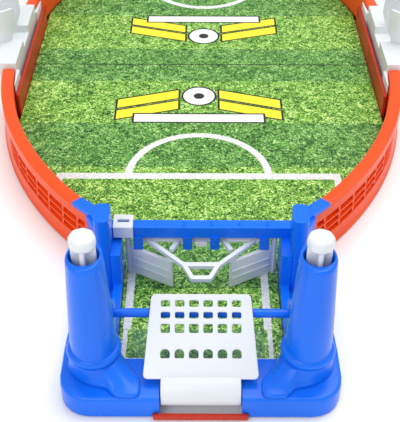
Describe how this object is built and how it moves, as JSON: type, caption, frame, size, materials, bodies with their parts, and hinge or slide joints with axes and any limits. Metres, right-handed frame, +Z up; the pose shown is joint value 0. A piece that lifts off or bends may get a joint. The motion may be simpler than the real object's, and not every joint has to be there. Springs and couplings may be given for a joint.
{
  "type": "tabletop football game",
  "caption": "Tabletop football game: oval grass-print board in curved walls, a leg-shaped end at each goal with push buttons that swing the flippers, and score clips.",
  "frame": {"origin": "on the table, under the middle of the board", "axes": "+Y along the board to the far goal, +X across it to the right as seen from the near end, +Z up"},
  "size_m": [0.294, 0.5508, 0.0862],
  "materials": {
    "blue_plastic": "glossy",
    "red_plastic": "glossy",
    "white_plastic": "satin",
    "grass_print": "matte",
    "spring_steel": "satin",
    "foot_rubber": "matte"
  },
  "bodies": {
    "game_body": {"near_tray": "red_plastic", "near_field_board": "grass_print", "near_base_cover": "blue_plastic", "near_goal_frame": "blue_plastic", "near_cross_rod": "blue_plastic", "near_gate_hinge_pin": "spring_steel", "near_left_rail": "red_plastic", "near_left_leg": "blue_plastic", "near_left_button_spring": "spring_steel", "near_left_foot": "foot_rubber", "near_right_rail": "red_plastic", "near_right_leg": "blue_plastic", "near_right_button_spring": "spring_steel", "near_right_foot": "foot_rubber", "far_tray": "red_plastic", "far_field_board": "grass_print", "far_base_cover": "blue_plastic", "far_goal_frame": "blue_plastic", "far_cross_rod": "blue_plastic", "far_gate_hinge_pin": "spring_steel", "far_left_rail": "red_plastic", "far_left_leg": "blue_plastic", "far_left_button_spring": "spring_steel", "far_left_foot": "foot_rubber", "far_right_rail": "red_plastic", "far_right_leg": "blue_plastic", "far_right_button_spring": "spring_steel", "far_right_foot": "foot_rubber", "left_side_bridge": "white_plastic", "right_side_bridge": "white_plastic"},
    "near_left_button_body": {"near_left_button": "white_plastic"},
    "near_left_slider_body": {"near_left_drive_slider": "white_plastic"},
    "near_left_flipper_body": {"near_left_flipper": "white_plastic"},
    "near_right_button_body": {"near_right_button": "white_plastic"},
    "near_right_slider_body": {"near_right_drive_slider": "white_plastic"},
    "near_right_flipper_body": {"near_right_flipper": "white_plastic"},
    "near_guard_body": {"near_roof_guard": "white_plastic"},
    "near_gate_body": {"near_net_gate": "white_plastic"},
    "near_clip_body": {"near_score_clip": "white_plastic"},
    "far_left_button_body": {"far_left_button": "white_plastic"},
    "far_left_slider_body": {"far_left_drive_slider": "white_plastic"},
    "far_left_flipper_body": {"far_left_flipper": "white_plastic"},
    "far_right_button_body": {"far_right_button": "white_plastic"},
    "far_right_slider_body": {"far_right_drive_slider": "white_plastic"},
    "far_right_flipper_body": {"far_right_flipper": "white_plastic"},
    "far_guard_body": {"far_roof_guard": "white_plastic"},
    "far_gate_body": {"far_net_gate": "white_plastic"},
    "far_clip_body": {"far_score_clip": "white_plastic"}
  },
  "joints": [
    {"name": "near_left_button_press", "type": "slide", "parent": "game_body", "child": "near_left_button_body", "axis": [0, 0, -1], "range_m": [0, 0.005], "stiffness_N_per_m": 150, "springref_m": -0.003, "deforming": ["near_left_button_spring"]},
    {"name": "near_left_slider_travel", "type": "slide", "parent": "game_body", "child": "near_left_slider_body", "axis": [0, -1, 0], "range_m": [-0.0005, 0.0055]},
    {"name": "near_left_flipper_swing", "type": "hinge", "parent": "game_body", "child": "near_left_flipper_body", "pos_m": [-0.0344, -0.194, 0.017], "axis": [0, 0, 1], "range_deg": [-1, 41]},
    {"name": "near_right_button_press", "type": "slide", "parent": "game_body", "child": "near_right_button_body", "axis": [0, 0, -1], "range_m": [0, 0.005], "stiffness_N_per_m": 150, "springref_m": -0.003, "deforming": ["near_right_button_spring"]},
    {"name": "near_right_slider_travel", "type": "slide", "parent": "game_body", "child": "near_right_slider_body", "axis": [0, -1, 0], "range_m": [-0.0005, 0.0055]},
    {"name": "near_right_flipper_swing", "type": "hinge", "parent": "game_body", "child": "near_right_flipper_body", "pos_m": [0.0344, -0.194, 0.017], "axis": [0, 0, -1], "range_deg": [-1, 41]},
    {"name": "near_guard_lift", "type": "hinge", "parent": "game_body", "child": "near_guard_body", "pos_m": [0, -0.194, 0.0293], "axis": [-1, 0, 0], "range_deg": [0, 35]},
    {"name": "near_gate_open", "type": "hinge", "parent": "game_body", "child": "near_gate_body", "pos_m": [0, -0.2635, 0.0095], "axis": [1, 0, 0], "range_deg": [0, 44]},
    {"name": "near_score_slide", "type": "slide", "parent": "game_body", "child": "near_clip_body", "axis": [1, 0, 0], "range_m": [0, 0.0645]},
    {"name": "far_left_button_press", "type": "slide", "parent": "game_body", "child": "far_left_button_body", "axis": [0, 0, -1], "range_m": [0, 0.005], "stiffness_N_per_m": 150, "springref_m": -0.003, "deforming": ["far_left_button_spring"]},
    {"name": "far_left_slider_travel", "type": "slide", "parent": "game_body", "child": "far_left_slider_body", "axis": [0, 1, 0], "range_m": [-0.0005, 0.0055]},
    {"name": "far_left_flipper_swing", "type": "hinge", "parent": "game_body", "child": "far_left_flipper_body", "pos_m": [0.0344, 0.194, 0.017], "axis": [0, 0, 1], "range_deg": [-1, 41]},
    {"name": "far_right_button_press", "type": "slide", "parent": "game_body", "child": "far_right_button_body", "axis": [0, 0, -1], "range_m": [0, 0.005], "stiffness_N_per_m": 150, "springref_m": -0.003, "deforming": ["far_right_button_spring"]},
    {"name": "far_right_slider_travel", "type": "slide", "parent": "game_body", "child": "far_right_slider_body", "axis": [0, 1, 0], "range_m": [-0.0005, 0.0055]},
    {"name": "far_right_flipper_swing", "type": "hinge", "parent": "game_body", "child": "far_right_flipper_body", "pos_m": [-0.0344, 0.194, 0.017], "axis": [0, 0, -1], "range_deg": [-1, 41]},
    {"name": "far_guard_lift", "type": "hinge", "parent": "game_body", "child": "far_guard_body", "pos_m": [0, 0.194, 0.0293], "axis": [1, 0, 0], "range_deg": [0, 35]},
    {"name": "far_gate_open", "type": "hinge", "parent": "game_body", "child": "far_gate_body", "pos_m": [0, 0.2635, 0.0095], "axis": [-1, 0, 0], "range_deg": [0, 44]},
    {"name": "far_score_slide", "type": "slide", "parent": "game_body", "child": "far_clip_body", "axis": [-1, 0, 0], "range_m": [0, 0.0645]}
  ],
  "couplings": [
    {"joint": "near_left_slider_travel", "follows": "near_left_button_press", "ratio": 1},
    {"joint": "near_left_flipper_swing", "follows": "near_left_button_press", "rad_per_m": 139.63},
    {"joint": "near_right_slider_travel", "follows": "near_right_button_press", "ratio": 1},
    {"joint": "near_right_flipper_swing", "follows": "near_right_button_press", "rad_per_m": 139.63},
    {"joint": "far_left_slider_travel", "follows": "far_left_button_press", "ratio": 1},
    {"joint": "far_left_flipper_swing", "follows": "far_left_button_press", "rad_per_m": 139.63},
    {"joint": "far_right_slider_travel", "follows": "far_right_button_press", "ratio": 1},
    {"joint": "far_right_flipper_swing", "follows": "far_right_button_press", "rad_per_m": 139.63}
  ]
}
